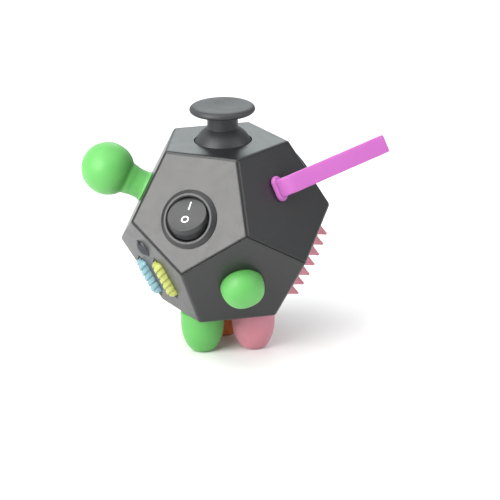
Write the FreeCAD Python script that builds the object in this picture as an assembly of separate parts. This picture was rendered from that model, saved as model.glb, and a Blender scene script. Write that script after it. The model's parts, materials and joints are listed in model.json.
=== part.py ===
"""Twelve-sided fidget toy: a hollow plastic dodecahedron with a different hand toy on every face.

Frame: millimetres, +Z up through the joystick. The origin is on the surface that the toy stands on,
at the centre of the whole toy's outline seen from above. The switch face looks along -Y, and azimuths
turn from -Y towards +X. Everything is drawn round the body's vertical axis and moved there last.

Every face has its own local frame: x to the right and y up for someone who looks at the face from
outside, and z outward, with z = 0 on the face. Each module below is drawn in that local frame.
"""

import FreeCAD, Part
import os
from math import atan, cos, pi, radians, sin, sqrt

V = FreeCAD.Vector
X_AXIS, Y_AXIS, Z_AXIS = V(1, 0, 0), V(0, 1, 0), V(0, 0, 1)
ORIGIN = V(0, 0, 0)

# ------------------------------------------------------------------ driving dimensions, mm
EDGE = 22.7              # edge of the dodecahedron
WALL = 2.0               # wall of the two shells
EDGE_ROUND = 1.4         # rounding of the outer edges
SEAM_GAP = 0.22          # visible groove between the two shells
LIP_HEIGHT = 2.0         # height of the locating lip on each side of the seam
LIP_THICK = 0.9
FIT = 0.05               # radial clearance of a running fit
SLIP = 0.1               # clearance between parts that slide or are pushed together by hand
GAP = 0.3                # clearance between parts that pass each other freely
COIL_ARCS = 8            # pieces of wire in one turn of a spring

SCREW_RING = 12.3        # shell screws: distance from the vertical axis
SCREW_AZIMUTHS = (36, 108, 180, 252)
SCREW_R = 0.85
SCREW_HEAD_R = 1.5
SCREW_LENGTH = 9.0
SCREW_POST_R = 2.4         # lower half of a post; the upper half is POST_TIP_R
POST_TIP_R = 1.8
HEAD_DROP = 4.0           # screw heads sit this far below the joint of the posts
POST_MEET_Z = -6.0       # height where the two halves of a screw post meet, from the body centre

STICK_PIVOT = -4.0       # joystick: height of the gimbal axes under the top face
SKIRT_R = 9.1            # outer radius of the ball skirt
SKIRT_THICK = 1.0
SKIRT_ANGLE = 78         # the skirt ends at this angle from the stick's axis
STEM_R = 4.5
CORE_R = 2.6
STEM_TOP = 8.2
CAP_R = 9.75
CAP_TOP = 10.6
FOOT_R = 3.6
GIMBAL_PIN_R = 0.8
HOUSING_R = 10.1
HOUSING_WALL = 0.6
HOUSING_DEPTH = 13.2

ROCKER_X = -0.4          # round switch: place on its face
ROCKER_Y = -3.05
BEZEL_R = 8.6
BEZEL_HEIGHT = 1.15
WELL_R = 6.4
BARREL_R = 7.4
BARREL_DEPTH = 8.0
ROCKER_PIVOT = -0.1
ROCKER_TILT = 25         # degrees each side of level
PADDLE_R = 6.15
PADDLE_TOP = 2.7         # above the pivot
MARK_THICK = 0.08        # printed I and O

STRAP_Y = 3.6            # tail: place on its face
STRAP_WIDTH = 5.4
STRAP_THICK = 1.9
STRAP_BEND = 53          # degrees from the face's normal
STRAP_BEND_R = 6.0
STRAP_STRAIGHT = 28.2
STRAP_TURN = 3.5         # turn of the tail about the face's normal, degrees

BALL_R = 7.9             # squeeze ball on a neck
BALL_Y = -1.0            # place on its face
BALL_CENTRE = 12.5
NECK_R = 4.35

DOME_R = 6.4             # press dome
DOME_Y = -0.6            # place on its face
DOME_HEIGHT = 6.4
DOME_WALL = 1.3

ROLLER_R = 2.5           # ridged rollers, half sunk in their face
ROLLER_LENGTH = 12.4
ROLLER_AXIS_Z = -0.6     # height of the axles above the face
ROLLER_ROUND = 1.4       # rounding of the ends
RIDGE_HEIGHT = 0.35
RIDGE_PITCH = 2.1
RIDGE_WIDTH = 1.1
RIDGE_SLANT = 38         # degrees
AXLE_R = 0.35
LUG_R = 0.7              # lugs that hold the axles
LUG_THICK = 1.0
ROLLER_PLACES = {"roller_yellow": (3.2, -1.2), "roller_blue": (-9.9, -5.3)}
CARRIER_Y = (-8.0, 2.0)  # floor of the carrier between the rollers
CARRIER_THICK = 1.1
RIB_END_Y = 5.0          # the carrier's rib runs on to the ball's cup
CUP_R = 4.6
CUP_DEPTH = 2.8
ROLLING_R = 3.3          # rolling ball above the rollers
ROLLING_PROUD = 1.6
ROLLING_PLACE = (-2.2, 8.4)

BRUSH_R = 12.4           # spiked pad
BRUSH_RECESS = 0.7
BRUSH_BASE = 0.6
SPIKE_R = 1.62
SPIKE_TIP_R = 0.3
SPIKE_HEIGHT = 2.8
SPIKE_PITCH = 3.25       # square grid
SPIKE_TURN = -20.7       # turn of the grid, degrees

LOBE_LENGTH = 13.5       # pinch lobes that the toy stands on, measured from the bottom face
LOBE_R = 6.5
LOBE_RING = 8.4
LOBE_AZIMUTHS = {"pinch_lobe_green": -36, "pinch_lobe_pink": 94, "pinch_lobe_orange": 209}
LOBE_TIP_R = 2.8         # flat at the end of each lobe
LOBE_SHOULDER = 8.0      # height of the rounded end
PLATE_R = 14.0
PLATE_RECESS = 0.8
PLATE_PROUD = 0.7

DIAL_R = 8.6             # turning dial
DIAL_BOTTOM = 0.3
DIAL_TOP = 2.8
DIAL_NOTCHES = 24
DIAL_SHAFT_R = 2.2

BUTTON_RING = 7.6        # five click buttons
BUTTON_R = 2.7
BUTTON_TRAVEL = 1.3
BUTTON_PROUD = BUTTON_TRAVEL + 0.7   # a pressed button still stands a little above its face
BUTTON_COUNT = 5
BUTTON_PLATE_R = 10.6
BUTTON_PLATE_Z = -6.0

WORRY_R = 11.0           # hollow thumb pad
WORRY_RECESS = 0.8
WORRY_PROUD = 1.3
WORRY_DISH = 1.35

SPIN_HUB_R = 4.7         # small three-arm spinner
SPIN_ARM_R = 3.3
SPIN_RING = 6.4
SPIN_BOTTOM = 1.0
SPIN_TOP = 3.6
RACE_R = 3.6

# ------------------------------------------------------------------ dodecahedron
INRADIUS = EDGE * sqrt((25 + 11 * sqrt(5)) / 10) / 2
RING_R = EDGE / (2 * sin(pi / 5))            # circumradius of a face
MID_R = RING_R * (1 + sqrt(5)) / 2           # radius of the two middle rings of corners
MID_Z = INRADIUS - RING_R                    # height of the upper middle ring
TILT = atan(0.5)                             # the side faces lean this far from upright
BODY_Z = INRADIUS + LOBE_LENGTH              # height of the body's centre above the table

TOP, BOTTOM = ("top", 0), ("bottom", 0)
SWITCH_FACE, TAIL_FACE, BALL_FACE = ("upper", 0), ("upper", 72), ("upper", -72)
DIAL_FACE, BUTTON_FACE = ("upper", 144), ("upper", 216)
DOME_FACE, ROLLER_FACE, BRUSH_FACE = ("lower", 36), ("lower", -36), ("lower", 108)
WORRY_FACE, SPINNER_FACE = ("lower", 180), ("lower", 252)


def around(azimuth, radius, z):
    """A point at a distance from the vertical axis, z measured from the body's centre."""
    turn = radians(azimuth)
    return V(radius * sin(turn), -radius * cos(turn), z)


def face_axes(face):
    """Right, up and outward directions of a face."""
    kind, azimuth = face
    if kind == "top":
        return X_AXIS, Y_AXIS, Z_AXIS
    if kind == "bottom":
        return V(-1, 0, 0), Y_AXIS, V(0, 0, -1)
    lean = TILT if kind == "upper" else -TILT
    out = around(azimuth, cos(lean), sin(lean))
    up = around(azimuth, -sin(lean), cos(lean))
    return up.cross(out), up, out


def on_face(face, shape):
    """The shape, moved from a face's local frame to the toy's frame."""
    right, up, out = face_axes(face)
    base = out * INRADIUS + V(0, 0, BODY_Z)
    matrix = FreeCAD.Matrix(right.x, up.x, out.x, base.x, right.y, up.y, out.y, base.y,
                            right.z, up.z, out.z, base.z, 0, 0, 0, 1)
    moved = shape.copy()
    moved.Placement = FreeCAD.Placement(matrix).multiply(shape.Placement)
    return moved


# ------------------------------------------------------------------ shape helpers
def rod(radius, z0, z1, x=0.0, y=0.0):
    """A cylinder along z."""
    return Part.makeCylinder(radius, z1 - z0, V(x, y, z0), Z_AXIS)


def bar(radius, start, end):
    """A cylinder between two points."""
    return Part.makeCylinder(radius, (end - start).Length, start, end - start)


def tube(outer, inner, z0, z1, x=0.0, y=0.0):
    return rod(outer, z0, z1, x, y).cut(rod(inner, z0 - 1, z1 + 1, x, y))


def box(x0, x1, y0, y1, z0, z1):
    return Part.makeBox(x1 - x0, y1 - y0, z1 - z0, V(x0, y0, z0))


def ball(radius, x=0.0, y=0.0, z=0.0):
    return Part.makeSphere(radius, V(x, y, z))


def join(shapes):
    """One solid from shapes that touch or overlap."""
    first, rest = shapes[0], shapes[1:]
    return first.fuse(rest).removeSplitter() if rest else first


def turned(path):
    """A solid of revolution about z. The path lists (radius, z) points. Two points in place of one
    are an arc, (middle, end), and three are a smooth curve, (pole, pole, end)."""
    edges, here = [], path[0]
    for step in list(path[1:]) + [path[0]]:
        if isinstance(step[0], tuple):
            points = [V(r, 0, z) for r, z in (here,) + tuple(step)]
            if len(points) == 3:
                edges.append(Part.Arc(*points).toShape())
            else:
                curve = Part.BezierCurve()
                curve.setPoles(points)
                edges.append(curve.toShape())
            here = step[-1]
        elif step != here:
            edges.append(Part.LineSegment(V(here[0], 0, here[1]), V(step[0], 0, step[1])).toShape())
            here = step
    return Part.Face(Part.Wire(edges)).revolve(ORIGIN, Z_AXIS, 360)


def arc_about(centre_z, radius, angle0, angle1):
    """(middle, end) of an arc about a point on the axis. Angles are in degrees from +z."""
    def at(angle):
        return radius * sin(radians(angle)), centre_z + radius * cos(radians(angle))
    return at((angle0 + angle1) / 2), at(angle1)


def rounded_disc(radius, z0, z1, rounding):
    """A disc with its upper edge rounded."""
    disc = rod(radius, z0, z1)
    return disc.makeFillet(rounding, [e for e in disc.Edges if e.BoundBox.ZMin > z1 - 0.01])


def rounded_slab(width, length, z0, z1, corner):
    """A plate with rounded corners, its width along x and its length along y."""
    slab = box(-width / 2, width / 2, -length / 2, length / 2, z0, z1)
    upright = [e for e in slab.Edges if abs(e.tangentAt(e.FirstParameter).z) > 0.9]
    return slab.makeFillet(corner, upright)


def coil(radius, wire_r, z0, z1, turns):
    """A helical spring standing on z0, joined from equal short arcs of wire."""
    rise = z1 - z0 - 2 * wire_r
    pitch = rise / turns
    slope = atan(pitch / (2 * pi * radius))
    end = Part.makeCircle(wire_r, V(radius, 0, 0), V(0, cos(slope), sin(slope)))
    arc = Part.makeHelix(pitch, pitch / COIL_ARCS, radius)
    piece = Part.Wire(arc).makePipeShell([Part.Wire(end)], True, True)
    wire = []
    for k in range(int(round(turns * COIL_ARCS))):
        step = piece.copy()
        step.rotate(ORIGIN, Z_AXIS, 360 * k / COIL_ARCS)
        wire.append(moved(step, z=z0 + wire_r + pitch * k / COIL_ARCS))
    return wire[0].fuse(wire[1:])


def moved(shape, x=0.0, y=0.0, z=0.0):
    copy = shape.copy()
    copy.translate(V(x, y, z))
    return copy


# ------------------------------------------------------------------ the two shells
def corners():
    """The twenty corners, about the body's centre: top ring, upper and lower middle, bottom ring."""
    rings = ((RING_R, INRADIUS, 36), (MID_R, MID_Z, 36), (MID_R, -MID_Z, 0), (RING_R, -INRADIUS, 0))
    return [around(72 * k + start, r, z) for r, z, start in rings for k in range(5)]


def dodecahedron(inradius):
    """A plain dodecahedron about the origin."""
    scale = inradius / INRADIUS
    points = [p * scale for p in corners()]
    faces = []
    for face in [TOP, BOTTOM] + [("upper", 72 * k) for k in range(5)] + \
            [("lower", 72 * k + 36) for k in range(5)]:
        right, up, out = face_axes(face)
        own = [p for p in points if abs(p.dot(out) - inradius) < 1e-6]
        own.sort(key=lambda p: FreeCAD.Vector(p.dot(right), p.dot(up), 0).getAngle(X_AXIS)
                 * (1 if p.dot(up) > 0 else -1))
        faces.append(Part.Face(Part.makePolygon(own + own[:1])))
    return Part.makeSolid(Part.makeShell(faces))


def above_seam(shift):
    """Everything above the zigzag seam that runs along the ten edges round the middle."""
    reach, apex = 2.0, V(0, 0, 200)
    loop = []
    for k in range(5):
        loop += [around(72 * k, MID_R, -MID_Z) * reach, around(72 * k + 36, MID_R, MID_Z) * reach]
    faces = []
    for a, b in zip(loop, loop[1:] + loop[:1]):
        faces.append(Part.Face(Part.makePolygon([ORIGIN, a, b, ORIGIN])))
        faces.append(Part.Face(Part.makePolygon([apex, b, a, apex])))
    region = Part.makeSolid(Part.makeShell(faces))
    region.translate(V(0, 0, shift))
    return region


def seam_lip():
    """Locating lip inside the lower shell, which the upper shell slides over."""
    core = dodecahedron(INRADIUS - WALL - LIP_THICK)
    root = dodecahedron(INRADIUS - WALL + 0.5).cut(core)
    tongue = dodecahedron(INRADIUS - WALL - SLIP).cut(core)
    root = root.common(above_seam(-LIP_HEIGHT)).cut(above_seam(-SEAM_GAP / 2))
    tongue = tongue.common(above_seam(-LIP_HEIGHT)).cut(above_seam(LIP_HEIGHT))
    return [root, tongue]


def screw_posts():
    """(upper posts, lower posts, bores to cut in both), about the body's centre."""
    upper, lower, upper_bores, lower_bores = [], [], [], []
    head_z = POST_MEET_Z - HEAD_DROP
    for azimuth in SCREW_AZIMUTHS:
        p = around(azimuth, SCREW_RING, 0)
        upper.append(rod(POST_TIP_R, POST_MEET_Z + SLIP, INRADIUS - WALL + 0.5, p.x, p.y))
        lower.append(rod(SCREW_POST_R, -INRADIUS + WALL - 0.5, POST_MEET_Z, p.x, p.y))
        upper_bores.append(rod(SCREW_R, POST_MEET_Z - 1, POST_MEET_Z + SCREW_LENGTH, p.x, p.y))
        lower_bores.append(rod(SCREW_R + SLIP, -INRADIUS, POST_MEET_Z + 1, p.x, p.y))
        lower_bores.append(rod(SCREW_HEAD_R + SLIP, -INRADIUS - 1, head_z, p.x, p.y))
    return upper, lower, upper_bores, lower_bores


def centred_cuts(faces, cuts):
    """Cutters of the given faces, moved back so that the body's centre is the origin."""
    return [moved(on_face(face, cutter), z=-BODY_Z) for face in faces for cutter in cuts[face]]


def shells(cuts, bosses):
    """The two shells. Cuts and bosses hold the openings and the fixed posts of each face."""
    solid = dodecahedron(INRADIUS)
    solid = solid.makeFillet(EDGE_ROUND, solid.Edges)
    skin = solid.cut(dodecahedron(INRADIUS - WALL))
    upper_posts, lower_posts, upper_bores, lower_bores = screw_posts()
    halves = {}
    for name, kinds, own_posts, bores in (("upper_shell", ("top", "upper"), upper_posts, upper_bores),
                                          ("lower_shell", ("bottom", "lower"), lower_posts, lower_bores)):
        faces = [face for face in cuts if face[0] in kinds]
        if name == "upper_shell":
            half = skin.common(above_seam(SEAM_GAP / 2))
            extra = []
        else:
            half = skin.cut(above_seam(-SEAM_GAP / 2))
            extra = seam_lip()
        posts = [post.common(dodecahedron(INRADIUS - 0.5)) for post in own_posts]
        fixed = [moved(on_face(face, b), z=-BODY_Z) for face in faces for b in bosses.get(face, [])]
        half = half.fuse(extra + posts + fixed)
        half = half.cut(bores + centred_cuts(faces, cuts))
        halves[name] = moved(half.removeSplitter(), z=BODY_Z)
    return halves


def shell_screws():
    """Four self-tapping screws, sunk in the lower posts."""
    screws = []
    head_z = POST_MEET_Z - HEAD_DROP
    for azimuth in SCREW_AZIMUTHS:
        p = around(azimuth, SCREW_RING, 0)
        head = rod(SCREW_HEAD_R, head_z - 1.2, head_z, p.x, p.y)
        slot = box(p.x - 0.9, p.x + 0.9, p.y - 0.25, p.y + 0.25, head_z - 1.3, head_z - 0.7)
        cross = box(p.x - 0.25, p.x + 0.25, p.y - 0.9, p.y + 0.9, head_z - 1.3, head_z - 0.7)
        shank = rod(SCREW_R, head_z, head_z + SCREW_LENGTH, p.x, p.y)
        screws.append(moved(join([head, shank]).cut([slot, cross]), z=BODY_Z))
    return Part.makeCompound(screws)


# ------------------------------------------------------------------ top: joystick on a gimbal
def joystick():
    inner_r = SKIRT_R - SKIRT_THICK
    foot_edge = STICK_PIVOT - sqrt(FOOT_R ** 2 - CORE_R ** 2)
    core_top = STICK_PIVOT + sqrt(inner_r ** 2 - CORE_R ** 2)
    core_angle = 90 - atan((core_top - STICK_PIVOT) / CORE_R) * 180 / pi
    stem_angle = 90 - atan(sqrt(SKIRT_R ** 2 - STEM_R ** 2) / STEM_R) * 180 / pi
    foot_angle = 180 - atan(CORE_R / (STICK_PIVOT - foot_edge)) * 180 / pi
    rim_outer = arc_about(STICK_PIVOT, SKIRT_R, SKIRT_ANGLE, SKIRT_ANGLE)[1]
    stick = turned([
        (0, STICK_PIVOT - FOOT_R),
        arc_about(STICK_PIVOT, FOOT_R, 180, foot_angle),
        (CORE_R, core_top),
        arc_about(STICK_PIVOT, inner_r, core_angle, SKIRT_ANGLE),
        rim_outer,
        arc_about(STICK_PIVOT, SKIRT_R, SKIRT_ANGLE, stem_angle),
        (STEM_R, STEM_TOP), (2.4, STEM_TOP), (2.4, STEM_TOP + 0.8), (0, STEM_TOP + 0.8)])
    pin_end = 5.1
    cross_pin = bar(GIMBAL_PIN_R, V(0, -pin_end, STICK_PIVOT), V(0, pin_end, STICK_PIVOT))
    stick = join([stick, cross_pin])

    cap = turned([
        (0, STEM_TOP + 0.8), (2.4, STEM_TOP + 0.8), (2.4, STEM_TOP), (STEM_R + 0.3, STEM_TOP),
        (CAP_R - 0.9, STEM_TOP + 0.35),
        ((CAP_R + 0.25, STEM_TOP + 0.75), (CAP_R + 0.05, CAP_TOP - 0.5), (CAP_R - 1.2, CAP_TOP - 0.1)),
        ((CAP_R - 3.0, CAP_TOP + 0.3), (3.2, CAP_TOP - 0.5), (0, CAP_TOP - 0.5))])

    ring_outer, ring_inner, lug_in, lug_out = 5.3, 3.7, 5.6, 7.3
    half_height = 1.3
    ring = tube(ring_outer, ring_inner, STICK_PIVOT - half_height, STICK_PIVOT + half_height)
    trunnions = [bar(GIMBAL_PIN_R, V(s * 5.0, 0, STICK_PIVOT), V(s * (lug_out - 0.1), 0, STICK_PIVOT))
                 for s in (-1, 1)]
    bore = bar(GIMBAL_PIN_R + FIT, V(0, -9, STICK_PIVOT), V(0, 9, STICK_PIVOT))
    ring = join([ring] + trunnions).cut(bore)

    floor = -HOUSING_DEPTH + 1.2
    cup = rod(HOUSING_R, -HOUSING_DEPTH, -WALL).cut(rod(HOUSING_R - HOUSING_WALL, floor, 0))
    lugs = []
    for x0, x1 in ((-lug_out, -lug_in), (lug_in, lug_out)):
        lugs.append(box(x0, x1, -1.5, 1.5, floor - 0.5, STICK_PIVOT + 1.3))
    bearing = bar(GIMBAL_PIN_R + FIT, V(-9, 0, STICK_PIVOT), V(9, 0, STICK_PIVOT))
    housing = join([cup] + lugs).cut(bearing.common(rod(lug_out + 0.2, -9, 0)))

    plate_top = STICK_PIVOT - FOOT_R - SLIP
    plate = rod(4.4, plate_top - 0.6, plate_top)
    spring = coil(3.1, 0.4, floor + 0.02, plate_top - 0.62, 2.5)
    opening = ball(SKIRT_R + 0.25, z=STICK_PIVOT)
    nodes = {"stick": stick, "stick_cap": cap, "gimbal_ring": ring, "stick_housing": housing,
             "centring_plate": plate, "centring_spring": spring}
    return nodes, [opening], []


# ------------------------------------------------------------------ round rocker switch
def rocker_switch():
    bezel = turned([
        (0, -BARREL_DEPTH), (BARREL_R, -BARREL_DEPTH), (BARREL_R, 0), (BEZEL_R, 0), (BEZEL_R, 0.25),
        (BEZEL_R - 1.2, BEZEL_HEIGHT), (WELL_R + 0.4, BEZEL_HEIGHT), (WELL_R, BEZEL_HEIGHT - 0.4),
        (WELL_R, 1.2 - BARREL_DEPTH), (0, 1.2 - BARREL_DEPTH)])
    pin_half = BARREL_R - 0.3
    pin = bar(0.8, V(-pin_half, 0, ROCKER_PIVOT), V(pin_half, 0, ROCKER_PIVOT))
    bezel = bezel.cut(pin)

    paddle = rod(PADDLE_R, -3.2, PADDLE_TOP).common(ball(PADDLE_R + SLIP))
    dish_r, dish_depth = 50.0, 0.3
    dish = bar(dish_r, V(-9, 0, PADDLE_TOP - dish_depth + dish_r), V(9, 0, PADDLE_TOP - dish_depth + dish_r))
    axle_bore = bar(0.8 + FIT, V(-9, 0, 0), V(9, 0, 0))
    plunger_bore = rod(1.3, -4, -1.3)
    paddle = paddle.cut([dish, axle_bore, plunger_bore])
    raised = moved(paddle, z=MARK_THICK)
    on_mark = box(-0.2, 0.2, 1.7, 4.3, 1, 9)
    off_mark = rod(1.15, 1, 9, 0, -1.6).cut(rod(0.75, 0, 9, 0, -1.6))
    marks = Part.makeCompound([m.common(raised).cut(paddle) for m in (on_mark, off_mark)])
    plunger = join([rod(1.2, -4.8, -2.5), ball(1.2, z=-4.8)])
    spring = coil(0.8, 0.15, -2.48, -1.32, 2.5)

    tilted = {}
    for name, shape in (("rocker", paddle), ("rocker_marks", marks), ("rocker_plunger", plunger),
                        ("rocker_spring", spring)):
        shape.rotate(ORIGIN, X_AXIS, -ROCKER_TILT)
        tilted[name] = moved(shape, ROCKER_X, ROCKER_Y, ROCKER_PIVOT)
    tilted["switch_bezel"] = moved(bezel, ROCKER_X, ROCKER_Y)
    tilted["rocker_pin"] = moved(pin, ROCKER_X, ROCKER_Y)
    return tilted, [rod(BARREL_R + SLIP, -WALL - 1, 1, ROCKER_X, ROCKER_Y)], []


# ------------------------------------------------------------------ soft tail
def tail():
    bend = radians(STRAP_BEND)
    half, rise = STRAP_THICK / 2, 1.2
    centre_x = STRAP_BEND_R
    direction = V(sin(bend), 0, cos(bend))
    across = V(cos(bend), 0, -sin(bend))

    def bent(radius, angle):
        return V(centre_x - radius * cos(angle), 0, rise + radius * sin(angle))

    outer_r, inner_r = STRAP_BEND_R + half, STRAP_BEND_R - half
    outer_end = bent(outer_r, bend) + direction * STRAP_STRAIGHT
    inner_end = bent(inner_r, bend) + direction * STRAP_STRAIGHT
    outline = [
        Part.LineSegment(V(-half, 0, -WALL), V(-half, 0, rise)),
        Part.Arc(V(-half, 0, rise), bent(outer_r, bend / 2), bent(outer_r, bend)),
        Part.LineSegment(bent(outer_r, bend), outer_end),
        Part.LineSegment(outer_end, inner_end),
        Part.LineSegment(inner_end, bent(inner_r, bend)),
        Part.Arc(bent(inner_r, bend), bent(inner_r, bend / 2), V(half, 0, rise)),
        Part.LineSegment(V(half, 0, rise), V(half, 0, -WALL)),
        Part.LineSegment(V(half, 0, -WALL), V(-half, 0, -WALL))]
    side = Part.Face(Part.Wire([e.toShape() for e in outline]))
    side.translate(V(0, -STRAP_WIDTH / 2, 0))
    band = side.extrude(V(0, STRAP_WIDTH, 0))
    collar = rounded_slab(3.9, 7.6, 0, 1.5, 1.9)
    collar = collar.makeFillet(0.7, [e for e in collar.Edges if e.BoundBox.ZMin > 1.4])
    barb = rounded_slab(3.9, 6.8, -WALL - 1.5, -WALL - SLIP, 1.2)
    neck = box(-half, half, -STRAP_WIDTH / 2, STRAP_WIDTH / 2, -WALL - 1, 0.5)
    strap = join([band, collar, barb, neck])
    slot = box(-half - SLIP, half + SLIP, -STRAP_WIDTH / 2 - SLIP, STRAP_WIDTH / 2 + SLIP, -WALL - 1, 1)
    for shape in (strap, slot):
        shape.rotate(ORIGIN, Z_AXIS, STRAP_TURN)
        shape.translate(V(0, STRAP_Y, 0))
    return {"strap": strap}, [slot], []


# ------------------------------------------------------------------ squeeze ball and press dome
def squeeze_ball():
    hole_r, barb_r = 3.4, 4.9
    neck_top = BALL_CENTRE - sqrt(BALL_R ** 2 - NECK_R ** 2)
    angle = 180 - atan(NECK_R / (BALL_CENTRE - neck_top)) * 180 / pi
    plug = turned([
        (0, -WALL - 1.6), (barb_r - 0.8, -WALL - 1.6), (barb_r, -WALL - 0.8), (barb_r, -WALL - SLIP),
        (hole_r, -WALL - SLIP), (hole_r, 0), (NECK_R, 0), (NECK_R, neck_top),
        arc_about(BALL_CENTRE, BALL_R, angle, 0)])
    return {"squeeze_ball": moved(plug, y=BALL_Y)}, [rod(hole_r + FIT, -WALL - 1, 1, 0, BALL_Y)], []


def press_dome():
    flange_r = 8.0
    flange_z = -WALL - 1.2
    inner_r, inner_top = DOME_R - DOME_WALL, DOME_HEIGHT - DOME_WALL
    dome = turned([
        (inner_r, flange_z), (flange_r, flange_z), (flange_r, -WALL - 0.02), (DOME_R, -WALL - 0.02),
        (DOME_R, 0.8),
        ((DOME_R, DOME_HEIGHT * 0.7), (DOME_R * 0.62, DOME_HEIGHT), (0, DOME_HEIGHT)),
        (0, inner_top),
        ((inner_r * 0.6, inner_top), (inner_r, inner_top * 0.66), (inner_r, 0.4))])
    retainer = tube(8.6, inner_r + 0.2, flange_z - 1.0, flange_z - 0.02)
    nodes = {"press_dome": moved(dome, y=DOME_Y), "dome_retainer": moved(retainer, y=DOME_Y)}
    return nodes, [rod(DOME_R + FIT, -WALL - 1, 1, 0, DOME_Y)], []


# ------------------------------------------------------------------ ridged rollers and rolling ball
def round_ended(radius, rounding):
    """A cylinder along y, as long as a roller, with both ends rounded."""
    barrel = rod(radius, -ROLLER_LENGTH / 2, ROLLER_LENGTH / 2)
    barrel = barrel.makeFillet(rounding, [e for e in barrel.Edges if e.BoundBox.XLength > radius])
    barrel.rotate(ORIGIN, X_AXIS, 90)
    return barrel


def roller():
    """A round-ended roller along y with slanting ridges, bored for its axle."""
    envelope = round_ended(ROLLER_R, ROLLER_ROUND)
    core = round_ended(ROLLER_R - RIDGE_HEIGHT, ROLLER_ROUND - RIDGE_HEIGHT)
    count = int(ROLLER_LENGTH / RIDGE_PITCH / 2) + 1
    ridges = []
    for k in range(-count, count + 1):
        slab = box(-9, 9, -RIDGE_WIDTH / 2, RIDGE_WIDTH / 2, -9, 9)
        slab.rotate(ORIGIN, Z_AXIS, RIDGE_SLANT)
        slab.translate(V(0, k * RIDGE_PITCH, 0))
        ridge = slab.common(envelope)
        if ridge.Solids:
            ridges.append(ridge)
    bore = bar(AXLE_R + FIT, V(0, -ROLLER_LENGTH, 0), V(0, ROLLER_LENGTH, 0))
    return core.fuse(ridges).cut(bore)


def rollers():
    nodes, cuts, axles = {}, [], []
    lug_in = ROLLER_LENGTH / 2 + FIT + SLIP
    lug_out = lug_in + LUG_THICK
    half_slot, slot_depth = ROLLER_R + GAP, WALL + 0.8
    floor_top = ROLLER_AXIS_Z - ROLLER_R - GAP - SLIP
    floor_bottom = floor_top - CARRIER_THICK
    right_x, left_x = ROLLER_PLACES["roller_yellow"][0], ROLLER_PLACES["roller_blue"][0]
    rib_left, rib_right = left_x + half_slot + SLIP, right_x - half_slot - SLIP
    frame = [box(left_x, right_x, *CARRIER_Y, floor_bottom, floor_top),
             box(rib_left, rib_right, CARRIER_Y[0], RIB_END_Y, floor_bottom, -WALL)]
    for name, (x, y) in ROLLER_PLACES.items():
        nodes[name] = moved(roller(), x, y, ROLLER_AXIS_Z)
        axles.append(bar(AXLE_R, V(x, y - lug_out, ROLLER_AXIS_Z), V(x, y + lug_out, ROLLER_AXIS_Z)))
        rail = 2 * LUG_R + 0.2
        frame.append(box(x - rail, x + rail, y - lug_out, y + lug_out, floor_bottom, floor_top))
        for y0, y1 in ((y - lug_out, y - lug_in), (y + lug_in, y + lug_out)):
            frame.append(box(x - LUG_R, x + LUG_R, y0, y1, floor_bottom, ROLLER_AXIS_Z))
            frame.append(bar(LUG_R, V(x, y0, ROLLER_AXIS_Z), V(x, y1, ROLLER_AXIS_Z)))
        slot = rounded_slab(2 * half_slot, ROLLER_LENGTH + 2 * GAP, -slot_depth, 1, 1.5)
        cuts.append(moved(slot, x, y))
        notch = LUG_R + GAP
        cuts.append(box(x - notch, x + notch, y - lug_out - GAP, y + lug_out + GAP, -slot_depth, 1))
    cup_bottom = -WALL - CUP_DEPTH
    frame.append(rod(CUP_R, cup_bottom, -WALL, *ROLLING_PLACE))
    centre_z = ROLLING_PROUD - ROLLING_R
    seat = ball(ROLLING_R + SLIP, ROLLING_PLACE[0], ROLLING_PLACE[1], centre_z)
    nodes["roller_carrier"] = join(frame).cut(axles + [seat])
    nodes["roller_axles"] = Part.makeCompound(axles)
    nodes["rolling_ball"] = ball(ROLLING_R, ROLLING_PLACE[0], ROLLING_PLACE[1], centre_z)
    cup_space = rod(CUP_R + GAP, cup_bottom - 1, -WALL, *ROLLING_PLACE)
    return nodes, cuts + [seat, cup_space], []


# ------------------------------------------------------------------ spiked brush pad
def brush_pad():
    pad = rounded_disc(BRUSH_R, -BRUSH_RECESS, BRUSH_BASE, 0.5)
    spikes = []
    turn = radians(SPIKE_TURN)
    for i in range(-4, 5):
        for k in range(-4, 5):
            x = SPIKE_PITCH * (k * cos(turn) - i * sin(turn))
            y = SPIKE_PITCH * (k * sin(turn) + i * cos(turn))
            if sqrt(x * x + y * y) < BRUSH_R - SPIKE_R + 0.1:
                spikes.append(Part.makeCone(SPIKE_R, SPIKE_TIP_R, SPIKE_HEIGHT + 0.2,
                                            V(x, y, BRUSH_BASE - 0.2), Z_AXIS))
    plug = rod(2.4, -WALL - 1, 0)
    barb = rod(3.4, -WALL - 1.5, -WALL - SLIP)
    pad = pad.fuse(spikes + [plug, barb])
    cuts = [rod(BRUSH_R + SLIP, -BRUSH_RECESS, 3), rod(2.4 + FIT, -WALL - 1, 0)]
    return {"brush_pad": pad}, cuts, []


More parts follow.
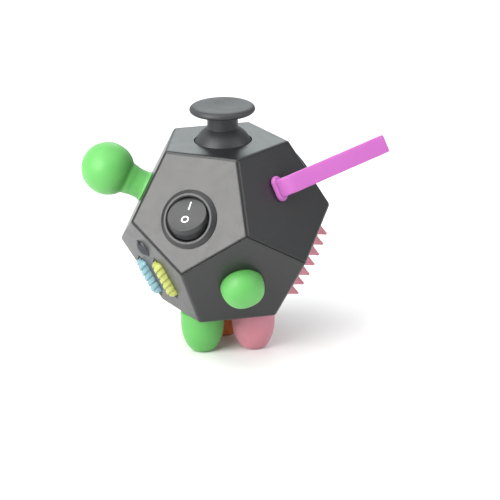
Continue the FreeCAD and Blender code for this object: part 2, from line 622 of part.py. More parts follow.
# ------------------------------------------------------------------ bottom: three pinch lobes
def pinch_lobes():
    nodes, holes = {}, []
    flange_r, neck_r, step_z = 3.2, 2.4, -0.1
    for name, azimuth in LOBE_AZIMUTHS.items():
        p = around(azimuth, LOBE_RING, 0)
        x, y = -p.x, p.y
        start = LOBE_LENGTH - LOBE_SHOULDER
        lobe = turned([
            (0, -PLATE_RECESS), (flange_r, -PLATE_RECESS), (flange_r, step_z), (neck_r, step_z),
            (neck_r, PLATE_PROUD), (LOBE_R - 0.5, PLATE_PROUD), (LOBE_R, PLATE_PROUD + 0.5),
            (LOBE_R, start),
            ((LOBE_R, start + 3.4), (LOBE_TIP_R + 1.7, LOBE_LENGTH), (LOBE_TIP_R, LOBE_LENGTH)),
            (0, LOBE_LENGTH)])
        nodes[name] = moved(lobe, x, y)
        holes += [rod(flange_r + FIT, -3, step_z + 0.02, x, y), rod(neck_r + FIT, -3, 3, x, y)]
    nodes["lobe_plate"] = rounded_disc(PLATE_R, -PLATE_RECESS, PLATE_PROUD, 0.4).cut(holes)
    return nodes, [rod(PLATE_R + SLIP, -PLATE_RECESS, 3)], []


# ------------------------------------------------------------------ turning dial
def dial():
    disc = rounded_disc(DIAL_R, DIAL_BOTTOM, DIAL_TOP, 0.6)
    notches = [rod(0.55, DIAL_BOTTOM - 1, DIAL_TOP + 1, (DIAL_R + 0.2) * cos(a), (DIAL_R + 0.2) * sin(a))
               for a in (2 * pi * k / DIAL_NOTCHES for k in range(DIAL_NOTCHES))]
    dimple = ball(4.2, 4.3, 0, DIAL_TOP + 3.1)
    raised = Part.makeTorus(2.6, 0.45, V(-3.6, 0, DIAL_TOP))
    washer_z = -WALL - 1.4
    shaft = rod(DIAL_SHAFT_R, washer_z, DIAL_BOTTOM + 0.5)
    screw_bore = rod(0.8, washer_z - 1, -0.4)
    knob = disc.cut(notches + [dimple]).fuse([shaft, raised]).cut(screw_bore)
    washer = tube(3.5, 0.85, washer_z - 0.6, washer_z)
    head_z = washer_z - 0.6
    screw = join([rod(1.7, head_z - 1.1, head_z), rod(0.8, head_z, -0.4)])
    screw = screw.cut(box(-1.2, 1.2, -0.25, 0.25, head_z - 2, head_z - 0.6))
    boss = rod(DIAL_SHAFT_R + 1.4, washer_z + SLIP, -WALL + 0.5)
    hole = rod(DIAL_SHAFT_R + FIT, -9, 1)
    return {"dial": knob, "dial_washer": washer, "dial_screw": screw}, [hole], [boss]


# ------------------------------------------------------------------ five click buttons
def buttons():
    nodes, cuts, springs, stem_holes = {}, [], [], []
    flange_r, stem_r = 3.5, 1.2
    flange_top, flange_bottom = -WALL - SLIP, -WALL - 1.1
    for k in range(BUTTON_COUNT):
        angle = 2 * pi * k / BUTTON_COUNT - pi / 2
        x, y = BUTTON_RING * cos(angle), BUTTON_RING * sin(angle)
        button = turned([
            (0, BUTTON_PLATE_Z - 1.0), (stem_r, BUTTON_PLATE_Z - 1.0), (stem_r, flange_bottom),
            (flange_r, flange_bottom), (flange_r, flange_top), (BUTTON_R, flange_top), (BUTTON_R, 0.5),
            ((BUTTON_R, BUTTON_PROUD), (BUTTON_R * 0.55, BUTTON_PROUD), (0, BUTTON_PROUD))])
        nodes["button_%d" % (k + 1)] = moved(button, x, y)
        cuts.append(rod(BUTTON_R + SLIP, -WALL - 1, 1, x, y))
        springs.append(moved(coil(2.1, 0.3, BUTTON_PLATE_Z + 0.02, flange_bottom - 0.02, 2), x, y))
        stem_holes.append(rod(stem_r + SLIP, -9, 0, x, y))
    boss_r = 2.2
    boss = rod(boss_r, BUTTON_PLATE_Z, -WALL + 0.5)
    plate = rod(BUTTON_PLATE_R, BUTTON_PLATE_Z - 1.2, BUTTON_PLATE_Z).cut(stem_holes + [rod(0.95, -9, 0)])
    head_z = BUTTON_PLATE_Z - 1.2
    screw = join([rod(1.8, head_z - 1.1, head_z), rod(0.8, head_z, -WALL - 1.0)])
    screw = screw.cut(box(-1.2, 1.2, -0.25, 0.25, head_z - 2, head_z - 0.6))
    nodes["button_springs"] = Part.makeCompound(springs)
    nodes["button_plate"] = plate
    nodes["button_plate_screw"] = screw
    return nodes, cuts + [rod(0.8, BUTTON_PLATE_Z - 1, -WALL - 1.0)], [boss]


# ------------------------------------------------------------------ hollow thumb pad
def worry_pad():
    pad = rounded_disc(WORRY_R, -WORRY_RECESS, WORRY_PROUD, 0.6)
    dish_half = WORRY_R - 1.6
    dish_r = (dish_half ** 2 + WORRY_DISH ** 2) / (2 * WORRY_DISH)
    pad = pad.cut(ball(dish_r, z=WORRY_PROUD - WORRY_DISH + dish_r))
    plug = rod(2.4, -WALL - 1, -WORRY_RECESS + 0.2)
    barb = rod(3.4, -WALL - 1.5, -WALL - SLIP)
    cuts = [rod(WORRY_R + SLIP, -WORRY_RECESS, 3), rod(2.4 + FIT, -WALL - 1, 0)]
    return {"worry_pad": join([pad, plug, barb])}, cuts, []


# ------------------------------------------------------------------ small spinner
def spinner():
    arms = [rounded_disc(SPIN_HUB_R, SPIN_BOTTOM, SPIN_TOP, 0.45)]
    for k in range(3):
        angle = 2 * pi * k / 3 + pi / 2
        arm = rounded_disc(SPIN_ARM_R, SPIN_BOTTOM, SPIN_TOP, 0.45)
        arms.append(moved(arm, SPIN_RING * cos(angle), SPIN_RING * sin(angle)))
    rotor = join(arms).cut(rod(RACE_R, 0, 9))
    race_z0, race_z1 = SPIN_BOTTOM + 0.2, SPIN_TOP - 0.2
    outer_in, inner_out, axle_r = 2.95, 2.05, 1.5
    ball_r = (outer_in - inner_out) / 2 - 0.01
    ball_ring = (outer_in + inner_out) / 2
    middle = (race_z0 + race_z1) / 2
    balls = [ball(ball_r, ball_ring * cos(a), ball_ring * sin(a), middle)
             for a in (2 * pi * k / 8 for k in range(8))]
    axle = turned([
        (0, -WALL - 1.2), (3.2, -WALL - 1.2), (3.2, -WALL), (axle_r, -WALL), (axle_r, 0),
        (2.0, 0), (2.0, race_z0), (axle_r, race_z0), (axle_r, SPIN_TOP + 0.1), (0, SPIN_TOP + 0.1)])
    axle = axle.cut(rod(0.8, 1.0, 9))
    cap_z = SPIN_TOP + 0.1
    cap = join([rounded_disc(3.1, cap_z, cap_z + 0.9, 0.4), rod(0.8, 1.0, cap_z + 0.2)])
    nodes = {"spinner_rotor": rotor, "bearing_outer_race": tube(RACE_R, outer_in, race_z0, race_z1),
             "bearing_inner_race": tube(inner_out, axle_r, race_z0, race_z1),
             "bearing_balls": Part.makeCompound(balls), "spinner_axle": axle, "spinner_cap": cap}
    return nodes, [rod(axle_r, -WALL - 1, 1)], []


MODULES = (
    (TOP, joystick), (SWITCH_FACE, rocker_switch), (TAIL_FACE, tail), (BALL_FACE, squeeze_ball),
    (DIAL_FACE, dial), (BUTTON_FACE, buttons), (DOME_FACE, press_dome), (ROLLER_FACE, rollers),
    (BRUSH_FACE, brush_pad), (WORRY_FACE, worry_pad), (SPINNER_FACE, spinner), (BOTTOM, pinch_lobes))


def build():
    """All nodes by name, in the toy's frame."""
    nodes, cuts, bosses = {}, {}, {}
    for face, module in MODULES:
        made, cuts[face], bosses[face] = module()
        for name, shape in made.items():
            nodes[name] = on_face(face, shape)
    nodes.update(shells(cuts, bosses))
    nodes["shell_screws"] = shell_screws()
    reach = Part.makeCompound(list(nodes.values())).optimalBoundingBox(False, False)
    middle = reach.Center
    return {name: moved(shape, -middle.x, -middle.y) for name, shape in nodes.items()}


def main():
    os.makedirs("parts", exist_ok=True)
    for name, shape in sorted(build().items()):
        solids = shape.Solids
        whole = bool(solids) and all(s.isValid() and s.Volume > 0 for s in solids)
        print("%-20s solids %2d  volume %9.2f mm3  %s" % (name, len(solids), shape.Volume,
                                                       "ok" if whole else "NOT VALID"))
        out = solids[0] if len(solids) == 1 else Part.makeCompound(solids)
        out.exportStep(os.path.join("parts", name + ".step"))


main()
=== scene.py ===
"""Looks of the twelve-sided fidget toy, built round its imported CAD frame. Metres, in the row frame.

Soft pieces are drawn in mm in the frame of the face they sit on: x right, y up, z outward.
"""

import json
import math
import random

import bmesh
import bpy
from mathutils import Matrix, Vector


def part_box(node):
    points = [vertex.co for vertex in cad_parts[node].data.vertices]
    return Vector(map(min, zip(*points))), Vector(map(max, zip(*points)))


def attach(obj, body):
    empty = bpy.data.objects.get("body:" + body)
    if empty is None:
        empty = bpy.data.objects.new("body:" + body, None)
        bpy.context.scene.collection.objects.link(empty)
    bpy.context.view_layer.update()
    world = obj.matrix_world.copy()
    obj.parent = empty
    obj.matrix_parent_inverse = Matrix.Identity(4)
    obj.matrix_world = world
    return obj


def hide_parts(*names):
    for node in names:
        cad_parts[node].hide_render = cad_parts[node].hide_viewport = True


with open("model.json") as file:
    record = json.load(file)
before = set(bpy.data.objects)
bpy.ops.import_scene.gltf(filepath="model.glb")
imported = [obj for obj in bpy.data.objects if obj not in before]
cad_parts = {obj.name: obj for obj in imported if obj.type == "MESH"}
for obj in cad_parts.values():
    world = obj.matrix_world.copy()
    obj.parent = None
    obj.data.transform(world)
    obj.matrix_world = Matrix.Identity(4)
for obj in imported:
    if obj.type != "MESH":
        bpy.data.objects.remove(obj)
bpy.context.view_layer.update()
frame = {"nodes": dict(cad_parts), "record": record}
MM = 0.001

# ------------------------------------------------------------------ the body's faces
EDGE = 22.7 * MM
INRADIUS = EDGE * math.sqrt((25 + 11 * math.sqrt(5)) / 10) / 2
LEAN = math.atan(0.5)        # an upper or lower face leans this far from the vertical


def body_centre():
    low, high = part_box("stick_housing")
    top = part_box("upper_shell")[1].z
    return Vector(((low.x + high.x) / 2, (low.y + high.y) / 2, top - INRADIUS))


CENTRE = body_centre()


def placed(right, up, out, base):
    """Matrix with the given axes and origin."""
    return Matrix(((right.x, up.x, out.x, base.x), (right.y, up.y, out.y, base.y),
                   (right.z, up.z, out.z, base.z), (0, 0, 0, 1)))


def face(kind, azimuth=0):
    """Matrix from a face's own frame (x right, y up, z outward, metres) to the row frame."""
    if kind == "bottom":
        right, up, out = Vector((-1, 0, 0)), Vector((0, 1, 0)), Vector((0, 0, -1))
    else:
        turn = math.radians(azimuth)
        lean = LEAN if kind == "upper" else -LEAN
        flat = Vector((math.sin(turn), -math.cos(turn), 0))
        out = flat * math.cos(lean) + Vector((0, 0, math.sin(lean)))
        up = flat * -math.sin(lean) + Vector((0, 0, math.cos(lean)))
        right = up.cross(out)
    return placed(right, up, out, CENTRE + out * INRADIUS)


# ------------------------------------------------------------------ node materials
BEVEL_SAMPLES = 6
SOCKETS = {
    "color": "Base Color", "roughness": "Roughness", "normal": "Normal", "metallic": "Metallic",
    "subsurface": "Subsurface Weight", "scatter": "Subsurface Scale", "radius": "Subsurface Radius",
    "specular": "Specular IOR Level", "sheen": "Sheen Weight", "sheen_roughness": "Sheen Roughness",
}
DUST = (0.55, 0.54, 0.5, 1)
SCRATCH = (0.6, 0.6, 0.6, 1)
LINT = (0.85, 0.85, 0.83, 1)


class Shader:
    """A small helper that builds one node material."""

    def __init__(self, name):
        self.material = bpy.data.materials.new(name)
        self.material.use_nodes = True
        self.tree = self.material.node_tree
        self.surface = self.tree.nodes["Principled BSDF"]
        self.place = self.tree.nodes.new("ShaderNodeTexCoord").outputs["Object"]

    def feed(self, socket, value):
        if isinstance(value, bpy.types.NodeSocket):
            self.tree.links.new(value, socket)
        else:
            socket.default_value = value

    def node(self, kind, inputs=None, **settings):
        made = self.tree.nodes.new(kind)
        for key, value in settings.items():
            setattr(made, key, value)
        for key, value in (inputs or {}).items():
            self.feed(made.inputs[key], value)
        return made

    def noise(self, scale, detail=3.0, roughness=0.55, distortion=0.0, place=None):
        inputs = {"Vector": place or self.place, "Scale": scale, "Detail": detail,
                  "Roughness": roughness, "Distortion": distortion}
        return self.node("ShaderNodeTexNoise", inputs).outputs["Fac"]

    def stretched(self, scale):
        """Turned coordinates drawn out by three scales, for hairlines, lint and turning marks."""
        inputs = {"Vector": self.place, "Scale": scale, "Rotation": (0.4, 0.9, 0.3)}
        return self.node("ShaderNodeMapping", inputs).outputs["Vector"]

    def ranged(self, value, low, high, new_low, new_high):
        inputs = {0: value, 1: low, 2: high, 3: new_low, 4: new_high}
        return self.node("ShaderNodeMapRange", inputs, clamp=True).outputs[0]

    def maths(self, operation, a, b):
        return self.node("ShaderNodeMath", {0: a, 1: b}, operation=operation).outputs[0]

    def mixed(self, factor, a, b):
        """Mix of two colours. Inputs 0, 6 and 7 are the node's factor and its colours A and B."""
        return self.node("ShaderNodeMix", {0: factor, 6: a, 7: b}, data_type="RGBA").outputs[2]

    def rounded(self, radius):
        return self.node("ShaderNodeBevel", {"Radius": radius}, samples=BEVEL_SAMPLES).outputs[0]

    def edges(self, radius):
        """About 1 on convex and concave edges, 0 on flats."""
        soft = self.rounded(radius)
        sharp = self.node("ShaderNodeNewGeometry").outputs["Normal"]
        dot = self.node("ShaderNodeVectorMath", {0: soft, 1: sharp}, operation="DOT_PRODUCT")
        return self.ranged(dot.outputs["Value"], 0.985, 0.86, 0.0, 1.0)

    def bump(self, height, distance, strength=1.0, normal=None):
        inputs = {"Height": height, "Distance": distance, "Strength": strength}
        if normal is not None:
            inputs["Normal"] = normal
        return self.node("ShaderNodeBump", inputs).outputs[0]

    def set(self, **values):
        for key, value in values.items():
            self.feed(self.surface.inputs[SOCKETS[key]], value)
        return self.material


def tone(color, factor):
    return tuple(min(1.0, c * factor) for c in color[:3]) + (1.0,)


def plastic(name, color, roughness, grain=0.00001, wear=0.3, dust=0.35):
    """Moulded plastic: spark-eroded grain, handling marks, hairline scratches, worn and dusty edges."""
    s = Shader(name)
    cloud = s.noise(55, 4, 0.6)
    smudge = s.noise(160, 5, 0.65, 1.2)
    hair = s.noise(1.0, 4, 0.7, 0.6, s.stretched((420, 60, 2600)))
    scratch = s.ranged(hair, 0.68, 0.74, 0.0, 1.0)
    specks = s.ranged(s.noise(1900, 2, 0.5), 0.70, 0.76, 0.0, 1.0)
    edge = s.edges(0.0006)
    worn = s.maths("MULTIPLY", edge, s.ranged(s.noise(700, 4, 0.7), 0.42, 0.62, 0.0, wear))
    base = s.mixed(cloud, tone(color, 0.88), tone(color, 1.12))
    base = s.mixed(worn, base, tone(color, 1.9 if max(color) > 0.2 else 3.2))
    base = s.mixed(s.maths("MULTIPLY", specks, 0.35 * dust), base, DUST)
    base = s.mixed(s.maths("MULTIPLY", scratch, 0.12 * dust), base, SCRATCH)
    rough = s.ranged(smudge, 0.3, 0.7, roughness - 0.03, roughness + 0.04)
    rough = s.maths("ADD", rough, s.maths("MULTIPLY", scratch, 0.12))
    normal = s.rounded(0.00025)
    normal = s.bump(s.noise(3800, 2, 0.6), grain, 0.8, normal)
    normal = s.bump(s.noise(90, 2, 0.5), 0.00004, 0.08, normal)
    return s.set(color=base, roughness=rough, normal=normal, specular=0.5)


def silicone(name, color, roughness=0.5, scatter=0.0022, subsurface=0.25):
    """Soft moulded silicone: light enters it, fine matt skin, a little lint and shine."""
    s = Shader(name)
    cloud = s.noise(95, 4, 0.6)
    fine = s.noise(2600, 3, 0.6)
    strands = s.noise(1.0, 3, 0.6, 2.5, s.stretched((900, 2400, 300)))
    lint = s.ranged(strands, 0.73, 0.78, 0.0, 1.0)
    handled = s.noise(260, 4, 0.6, 0.8)
    base = s.mixed(cloud, tone(color, 0.9), tone(color, 1.1))
    base = s.mixed(s.maths("MULTIPLY", lint, 0.3), base, LINT)
    rough = s.ranged(handled, 0.3, 0.7, roughness - 0.08, roughness + 0.1)
    normal = s.bump(fine, 0.00002, 0.7)
    normal = s.bump(s.noise(330, 3, 0.5), 0.00007, 0.35, normal)
    return s.set(color=base, roughness=rough, normal=normal, subsurface=subsurface, scatter=scatter,
                 radius=(1.0, 0.8, 0.7), sheen=0.12, sheen_roughness=0.45)


def metal(name, color, roughness, turned=(60, 60, 6000)):
    """Steel with drawing or turning marks and a few handling marks."""
    s = Shader(name)
    marks = s.noise(1.0, 3, 0.6, 0.1, s.stretched(turned))
    cloud = s.noise(300, 4, 0.6)
    rust = s.ranged(s.noise(900, 5, 0.7), 0.64, 0.74, 0.0, 0.35)
    base = s.mixed(cloud, tone(color, 0.85), tone(color, 1.12))
    base = s.mixed(rust, base, tone(color, 0.5))
    rough = s.ranged(marks, 0.25, 0.75, roughness * 0.7, roughness * 1.35)
    return s.set(color=base, roughness=rough, metallic=1.0, normal=s.bump(marks, 0.00001, 0.6))


def printed(name, color):
    """Pad-printed ink: slightly uneven cover and a grainy surface."""
    s = Shader(name)
    cover = s.ranged(s.noise(4200, 4, 0.7), 0.25, 0.45, 0.55, 1.0)
    base = s.mixed(cover, tone(color, 0.45), tone(color, 1.0))
    return s.set(color=base, roughness=s.ranged(s.noise(1500, 3), 0.3, 0.7, 0.4, 0.6),
                 normal=s.bump(s.noise(3500, 3), 0.00002, 0.6))


def paper_floor(name):
    s = Shader(name)
    base = s.mixed(s.noise(3, 4), (0.86, 0.86, 0.855, 1), (0.9, 0.9, 0.895, 1))
    return s.set(color=base, roughness=0.75, normal=s.bump(s.noise(900, 4), 0.00005, 0.3))


GREEN = (0.1, 0.40, 0.085)
ORCHID = (0.43, 0.105, 0.395)
PINK = (0.50, 0.19, 0.24)
ORANGE = (0.66, 0.18, 0.045)
YELLOW = (0.42, 0.46, 0.105)
BLUE = (0.21, 0.385, 0.435)
BLACK = (0.013, 0.0135, 0.0145)


def all_looks():
    looks = {
        "shell_plastic": plastic("shell_plastic_look", BLACK, 0.31, dust=0.18),
        "joystick_plastic": plastic("joystick_plastic_look", (0.026, 0.027, 0.03), 0.46, 0.00002),
        "switch_plastic": plastic("switch_plastic_look", (0.022, 0.0225, 0.024), 0.36, 0.000008),
        "inner_plastic": plastic("inner_plastic_look", (0.42, 0.42, 0.4), 0.5),
        "white_print": printed("white_print_look", (0.9, 0.9, 0.88)),
        "steel": metal("steel_look", (0.6, 0.6, 0.61), 0.28),
        "dark_steel": metal("dark_steel_look", (0.075, 0.077, 0.085), 0.36, (900, 900, 900)),
        "black_silicone": silicone("black_silicone_look", (0.03, 0.03, 0.032), 0.55, 0.0004, 0.05),
    }
    for slot, color in (("yellow_plastic", YELLOW), ("blue_plastic", BLUE)):
        looks[slot] = plastic(slot + "_look", color, 0.42, wear=0.2, dust=0.3)
    for slot, color in (("button_green", GREEN), ("button_orchid", ORCHID), ("button_yellow", YELLOW),
                        ("button_blue", BLUE), ("button_orange", ORANGE)):
        looks[slot] = plastic(slot + "_look", color, 0.38, wear=0.15, dust=0.3)
    for slot, color in (("green_silicone", GREEN), ("orchid_silicone", ORCHID),
                        ("pink_silicone", PINK), ("orange_silicone", ORANGE)):
        looks[slot] = silicone(slot + "_look", color)
    return looks


LOOKS = all_looks()
SLOT_OF = {row["node"]: row["material_slot"] for row in frame["record"]["subparts"]}


def dress_nodes():
    for name, obj in frame["nodes"].items():
        look = LOOKS[SLOT_OF[name]]
        obj.data.materials.clear()
        obj.data.materials.append(look)


# ------------------------------------------------------------------ mesh helpers
def smooth_path(points, steps):
    """Points along a Catmull-Rom curve through the given 2-D points."""
    out = []
    count = len(points)
    for i in range(count - 1):
        p0, p1 = points[max(i - 1, 0)], points[i]
        p2, p3 = points[i + 1], points[min(i + 2, count - 1)]
        for k in range(steps):
            t = k / steps
            out.append(tuple(0.5 * (2 * b + (c - a) * t + (2 * a - 5 * b + 4 * c - d) * t * t
                                    + (3 * b - a - 3 * c + d) * t ** 3)
                             for a, b, c, d in zip(p0, p1, p2, p3)))
    out.append(tuple(points[-1]))
    return out


def clamped(value):
    """The value held between 0 and 1."""
    return max(0.0, min(1.0, value))


def finish_mesh(name, bm, matrix, replaced, slot, body="body"):
    """Turn a drawn form into a soft piece that stands for one CAD node."""
    bmesh.ops.recalc_face_normals(bm, faces=bm.faces)
    mesh = bpy.data.meshes.new(name)
    bm.to_mesh(mesh)
    bm.free()
    mesh.transform(matrix)
    for polygon in mesh.polygons:
        polygon.use_smooth = True
    obj = bpy.data.objects.new(name, mesh)
    bpy.context.scene.collection.objects.link(obj)
    subdivision = obj.modifiers.new("smooth", "SUBSURF")
    subdivision.levels = 1
    subdivision.render_levels = 1
    mesh.materials.append(LOOKS[slot])
    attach(obj, body)
    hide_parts(*replaced)


def skin(bm, rings):
    """Close the sides between rings of points. A ring of one point is a tip on the axis."""
    for a, b in zip(rings, rings[1:]):
        count = max(len(a), len(b))
        for k in range(count):
            n = (k + 1) % count
            if len(a) == 1:
                bm.faces.new((a[0], b[k], b[n]))
            elif len(b) == 1:
                bm.faces.new((a[k], b[0], a[n]))
            else:
                bm.faces.new((a[k], b[k], b[n], a[n]))


def lathe(profile, shape=None, segments=64, at=(0.0, 0.0), bm=None):
    """A closed turned form. The profile runs from axis to axis as (radius, z) in mm, and
    shape(angle, r, z) may move each point to a new (radius, z)."""
    bm = bm or bmesh.new()
    rings = []
    for r, z in profile:
        if r < 1e-6:
            rings.append([bm.verts.new((at[0] * MM, at[1] * MM, z * MM))])
            continue
        ring = []
        for k in range(segments):
            angle = 2 * math.pi * k / segments
            rr, zz = shape(angle, r, z) if shape else (r, z)
            ring.append(bm.verts.new(((at[0] + rr * math.cos(angle)) * MM,
                                      (at[1] + rr * math.sin(angle)) * MM, zz * MM)))
        rings.append(ring)
    skin(bm, rings)
    return bm


# ------------------------------------------------------------------ soft pieces, in mm
BALL_R, BALL_HEIGHT, BALL_Y = 7.9, 12.5, -1.0
DOME_R, DOME_Y = 6.4, -0.6
LOBE_RING, LOBE_LENGTH = 8.4, 13.5
PAD_R, PAD_TOP = 12.4, 0.6
SPIKE_PITCH, SPIKE_TURN, SPIKE_MARGIN, SPIKE_LEAN = 3.25, -20.7, 1.45, 0.4
TAIL_BEND, TAIL_BEND_R, TAIL_RISE, TAIL_STRAIGHT = 53, 6.0, 1.2, 28.2
TAIL_HALF_WIDTH, TAIL_HALF_THICK, TAIL_CORNER = 2.7, 0.95, 0.35
TAIL_Y, TAIL_TURN = 3.6, 3.5
BEND_STEPS, STRAIGHT_STEPS = 8, 22
COLLAR_HALF_LENGTH, COLLAR_HALF_WIDTH, COLLAR_POINTS = 3.8, 1.95, 40


def squeeze_ball():
    """A ball on a waisted neck with a collar at its root."""
    profile = [(0, -1.9), (3.0, -1.9), (3.3, -1.6), (3.36, -0.3), (3.4, 0.02), (4.55, 0.05),
               (4.72, 0.3), (4.5, 0.75), (4.35, 1.4), (4.3, 2.6), (4.35, 4.0), (4.62, 5.1)]
    for degrees in (142, 132, 120, 105, 90, 74, 58, 42, 27, 13):
        a = math.radians(degrees)
        profile.append((BALL_R * math.sin(a), BALL_HEIGHT + BALL_R * math.cos(a)))
    profile.append((0, BALL_HEIGHT + BALL_R))

    def soft(angle, r, z):
        share = clamped((z - 5) / 6)
        wave = 0.008 * share * math.sin(2 * angle + 0.7) + 0.004 * math.sin(3 * angle + z)
        return r * (1 + wave), z

    bm = lathe(smooth_path(profile, 4), soft, 72)
    place = face("upper", -72) @ Matrix.Translation((0, BALL_Y * MM, 0))
    finish_mesh("squeeze_ball_soft", bm, place, ["squeeze_ball"], "green_silicone")


def press_dome():
    """A rounded button, a little squared at its sides, with the flange that holds it inside."""
    profile = [(0, -3.1), (7.4, -3.1), (7.85, -2.9), (7.85, -2.2), (6.4, -2.08), (6.33, -1.2),
               (6.33, 0.0), (DOME_R, 0.5), (6.36, 1.7), (6.1, 2.9), (5.45, 4.2), (4.3, 5.35),
               (2.9, 6.0), (1.4, 6.3), (0, 6.38)]

    def squashed(angle, r, z):
        share = clamped(z / 3.5)
        push = -0.022 * math.cos(4 * (angle - 0.5)) + 0.014 * math.cos(3 * angle + 1.2)
        tilt = 0.1 * share * math.cos(angle - 2.0) * r / DOME_R
        return r * (1 - share * (0.012 - push)), z - tilt

    bm = lathe(smooth_path(profile, 3), squashed, 72)
    place = face("lower", 36) @ Matrix.Translation((0, DOME_Y * MM, 0))
    finish_mesh("press_dome_soft", bm, place, ["press_dome"], "green_silicone")


def pinch_lobe(node, azimuth, slot, seed):
    """A long rounded lobe under the body, on a waist that its plate holds."""
    turn = math.radians(azimuth)
    at = (-LOBE_RING * math.sin(turn), -LOBE_RING * math.cos(turn))
    rng = random.Random(seed)
    phase = rng.uniform(0, 6.28)
    profile = [(0, -0.7), (2.9, -0.7), (3.1, -0.5), (3.1, -0.15), (2.4, -0.1), (2.35, 0.75),
               (5.6, 0.78), (6.25, 1.05), (6.45, 1.7), (6.45, 3.4), (6.42, 5.3), (6.22, 7.6),
               (5.63, 9.75), (4.8, 11.6), (3.8, 12.92), (2.85, 13.4), (1.9, 13.49),
               (0.9, LOBE_LENGTH), (0, LOBE_LENGTH)]

    def soft(angle, r, z):
        share = clamped(z / 6) * clamped((13.2 - z) / 3)
        return r * (1 - 0.012 * share * (1 + math.sin(2 * angle + phase))), z

    bm = lathe(smooth_path(profile, 3), soft, 64, at)
    finish_mesh(node + "_soft", bm, face("bottom"), [node], slot)


def worry_pad():
    """A round dished pad with a rolled rim and five faint waves."""
    profile = [(0, -0.7), (10.6, -0.7), (10.9, -0.5), (10.95, 0.1), (10.92, 0.7), (10.6, 1.1),
               (10.0, 1.28), (9.4, 1.2), (8.6, 0.98), (7.0, 0.58), (5.0, 0.22), (2.5, 0.02),
               (0, -0.04)]

    def soft(angle, r, z):
        return r, z + 0.03 * math.sin(5 * angle) * (1 if 3 < r < 10 and z > 0 else 0)

    bm = lathe(smooth_path(profile, 3), soft, 80)
    finish_mesh("worry_pad_soft", bm, face("lower", 180), ["worry_pad"], "black_silicone")


def spike(bm, x, y, rng):
    """One flexible point with a blunt tip, a little leaning and a little shorter than full."""
    outline = [(0, 0.1), (1.5, 0.3), (1.62, 0.55), (1.5, 0.75), (1.28, 1.15), (0.98, 1.75),
               (0.68, 2.4), (0.46, 2.95), (0.32, 3.25), (0.14, 3.37), (0, 3.4)]
    lean_x, lean_y = rng.uniform(-0.1, 0.1), rng.uniform(-0.1, 0.1)
    tall = rng.uniform(0.97, 1.0)
    start = len(bm.verts)
    profile = [(r, PAD_TOP + (z - PAD_TOP) * tall) for r, z in smooth_path(outline, 2)]
    lathe(profile, None, 20, (x, y), bm)
    bm.verts.ensure_lookup_table()
    for v in bm.verts[start:]:
        height = max(0.0, v.co.z / MM - PAD_TOP)
        v.co.x += lean_x * height * SPIKE_LEAN * MM
        v.co.y += lean_y * height * SPIKE_LEAN * MM


def brush_pad():
    """A round pad with a rolled rim and a turned square grid of flexible points."""
    turn = math.radians(SPIKE_TURN)
    rng = random.Random(5)
    profile = [(0, -0.65), (12.0, -0.65), (12.3, -0.45), (12.35, 0.0), (12.25, 0.38), (11.8, 0.57),
               (10.9, 0.58), (6.0, 0.57), (0, 0.57)]
    bm = lathe(smooth_path(profile, 3), None, 96)
    for i in range(-4, 5):
        for k in range(-4, 5):
            x = SPIKE_PITCH * (k * math.cos(turn) - i * math.sin(turn))
            y = SPIKE_PITCH * (k * math.sin(turn) + i * math.cos(turn))
            if math.hypot(x, y) < PAD_R - SPIKE_MARGIN:
                spike(bm, x, y, rng)
    finish_mesh("brush_pad_soft", bm, face("lower", 108), ["brush_pad"], "pink_silicone")


def tail_path(way):
    """Middle line of the tail as (x, z): up from the face, round its bend, then nearly straight."""
    turn = math.radians(TAIL_BEND)
    path = [(0.0, -1.7), (0.0, 0.0), (0.0, TAIL_RISE * 0.6)]
    for k in range(BEND_STEPS + 1):
        a = turn * k / BEND_STEPS
        path.append((TAIL_BEND_R - TAIL_BEND_R * math.cos(a), TAIL_RISE + TAIL_BEND_R * math.sin(a)))
    end = Vector((path[-1][0], path[-1][1]))
    for k in range(1, STRAIGHT_STEPS + 1):
        along = TAIL_STRAIGHT * k / STRAIGHT_STEPS - 0.12
        ripple = 0.12 * math.sin(along * 0.23) * along / TAIL_STRAIGHT
        point = end + way * along + Vector((way.y, -way.x)) * ripple
        path.append((point.x, point.y))
    return path


def tail_outline():
    """Cross-section of the tail as (across its thickness, across its width), with soft corners."""
    outline = []
    for cx, cy, start in ((1, 1, 0), (-1, 1, 90), (-1, -1, 180), (1, -1, 270)):
        for k in range(4):
            a = math.radians(start + 30 * k)
            outline.append((cx * (TAIL_HALF_THICK - TAIL_CORNER) + TAIL_CORNER * math.cos(a),
                            cy * (TAIL_HALF_WIDTH - TAIL_CORNER) + TAIL_CORNER * math.sin(a)))
    return outline


def closed_tube(bm, rings):
    """Close the sides between rings of equal count and cap both ends."""
    count = len(rings[0])
    for a, b in zip(rings, rings[1:]):
        for k in range(count):
            n = (k + 1) % count
            bm.faces.new((a[k], a[n], b[n], b[k]))
    bm.faces.new(rings[0])
    bm.faces.new(rings[-1])


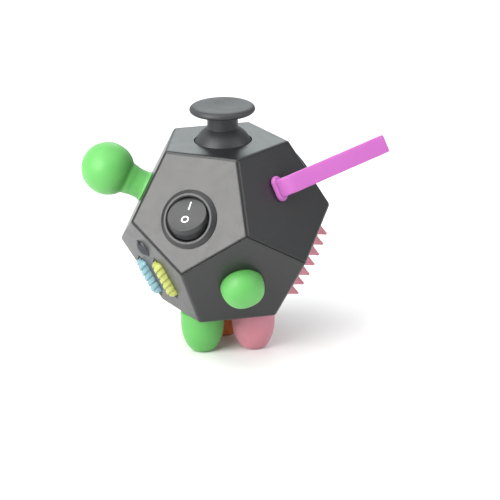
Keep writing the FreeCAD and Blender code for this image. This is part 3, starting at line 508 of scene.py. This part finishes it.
def tail():
    """A flat band with soft edges that leaves an oval collar, bends, and runs to a square end."""
    turn = math.radians(TAIL_BEND)
    way = Vector((math.sin(turn), math.cos(turn)))
    path = tail_path(way)
    outline = tail_outline()
    bm = bmesh.new()
    rings = []
    for i, (x, z) in enumerate(path):
        before, after = path[max(i - 1, 0)], path[min(i + 1, len(path) - 1)]
        tangent = Vector((after[0] - before[0], after[1] - before[1])).normalized()
        side = Vector((tangent.y, -tangent.x))
        thin = 1 - 0.02 * i / len(path) + 0.008 * math.sin(i * 1.3)
        ring = []
        for u, w in outline:
            ring.append(bm.verts.new(((x + side.x * u * thin) * MM, w * thin * MM,
                                      (z + side.y * u * thin) * MM)))
        rings.append(ring)
    for shrink, ahead in ((0.94, 0.1), (0.7, 0.13)):
        last, (x, z) = rings[-1], path[-1]
        tip = Vector(((x + way.x * ahead) * MM, 0, (z + way.y * ahead) * MM))
        middle = sum((v.co for v in last), Vector()) / len(last)
        rings.append([bm.verts.new(tip + (v.co - middle) * shrink) for v in last])
    closed_tube(bm, rings)
    collar_ring(bm)
    place = face("upper", 72) @ Matrix.Translation((0, TAIL_Y * MM, 0))
    place = place @ Matrix.Rotation(math.radians(TAIL_TURN), 4, "Z")
    finish_mesh("tail_soft", bm, place, ["strap"], "orchid_silicone")


def collar_ring(bm):
    """Rounded oval collar round the root of the tail, drawn as stacked stadium outlines."""
    layers = ((0.02, 0.98), (0.3, 1.0), (0.7, 0.995), (1.05, 0.95), (1.35, 0.82), (1.5, 0.6),
              (1.46, 0.44))
    run = COLLAR_HALF_LENGTH - COLLAR_HALF_WIDTH
    rings = []
    for z, size in layers:
        r = COLLAR_HALF_WIDTH * size
        ring = []
        for k in range(COLLAR_POINTS):
            a = 2 * math.pi * k / COLLAR_POINTS
            y = r * math.sin(a) + (run if math.sin(a) >= 0 else -run)
            ring.append(bm.verts.new((r * math.cos(a) * MM, y * MM, z * MM)))
        rings.append(ring)
    closed_tube(bm, rings)


# ------------------------------------------------------------------ stage, light, camera
CAMERA_AZIMUTH, CAMERA_ELEVATION, CAMERA_ROLL = 23.64, 20.36, 1.03
CAMERA_DISTANCE, CAMERA_LENS, CAMERA_SENSOR = 0.7355, 179.2, 36.0
CAMERA_AIM = Vector((7.9, 0.2, -8.1)) * MM
FLOOR_HALF = 3.0


def stage():
    bm = bmesh.new()
    bmesh.ops.create_grid(bm, x_segments=24, y_segments=24, size=FLOOR_HALF)
    mesh = bpy.data.meshes.new("floor")
    bm.to_mesh(mesh)
    bm.free()
    floor = bpy.data.objects.new("floor", mesh)
    bpy.context.scene.collection.objects.link(floor)
    mesh.materials.append(paper_floor("floor_look"))


def outward(azimuth, elevation):
    """Unit vector from the body's centre at an azimuth and elevation in radians."""
    return Vector((math.sin(azimuth) * math.cos(elevation), -math.cos(azimuth) * math.cos(elevation),
                   math.sin(elevation)))


def soft_light(name, azimuth, elevation, distance, size, power, warmth=1.0):
    """Rectangle of light aimed at the body. Warmth under 1 is warm, over 1 is bluish."""
    way = outward(math.radians(azimuth), math.radians(elevation))
    data = bpy.data.lights.new(name, "AREA")
    data.shape = "RECTANGLE"
    data.size, data.size_y = size
    data.energy = power
    data.color = (1.0, 0.5 + 0.5 * warmth, warmth) if warmth <= 1 else (2 - warmth, 1.0, 1.0)
    light = bpy.data.objects.new(name, data)
    light.location = CENTRE + way * distance
    light.rotation_mode = "QUATERNION"
    light.rotation_quaternion = (-way).to_track_quat("-Z", "Y")
    bpy.context.scene.collection.objects.link(light)


def lights():
    soft_light("key", -26, 30, 0.75, (0.5, 0.42), 6.3, 0.965)
    soft_light("top", 10, 80, 0.9, (0.9, 0.9), 3.8)
    soft_light("right", 95, 30, 1.1, (0.7, 0.7), 3.3)
    soft_light("left", -110, 25, 1.1, (0.6, 0.8), 1.2)
    soft_light("back", 195, 35, 1.2, (0.8, 0.5), 2.2)
    soft_light("over_switch", -66, 64, 0.9, (0.5, 0.4), 2.4)
    soft_light("low_back", 204, 20, 1.0, (0.6, 0.3), 0.9, 1.12)
    world = bpy.data.worlds.new("studio")
    world.use_nodes = True
    background = world.node_tree.nodes["Background"]
    background.inputs["Color"].default_value = (0.93, 0.945, 0.96, 1)
    background.inputs["Strength"].default_value = 0.5
    bpy.context.scene.world = world


def camera():
    azimuth, elevation = math.radians(CAMERA_AZIMUTH), math.radians(CAMERA_ELEVATION)
    roll = math.radians(CAMERA_ROLL)
    back = outward(azimuth, elevation)
    flat_right = Vector((math.cos(azimuth), math.sin(azimuth), 0))
    flat_up = back.cross(flat_right)
    right = flat_right * math.cos(roll) - flat_up * math.sin(roll)
    up = flat_up * math.cos(roll) + flat_right * math.sin(roll)
    data = bpy.data.cameras.new("camera")
    data.sensor_width, data.lens = CAMERA_SENSOR, CAMERA_LENS
    data.clip_start, data.clip_end = 0.05, 20
    cam = bpy.data.objects.new("camera", data)
    cam.matrix_world = placed(right, up, back, CENTRE + CAMERA_AIM + back * CAMERA_DISTANCE)
    bpy.context.scene.collection.objects.link(cam)
    bpy.context.scene.camera = cam


dress_nodes()
squeeze_ball()
press_dome()
pinch_lobe("pinch_lobe_green", -36, "green_silicone", 1)
pinch_lobe("pinch_lobe_pink", 94, "pink_silicone", 2)
pinch_lobe("pinch_lobe_orange", 209, "orange_silicone", 3)
worry_pad()
brush_pad()
tail()
stage()
lights()
camera()
bpy.context.scene.view_settings.view_transform = "Standard"
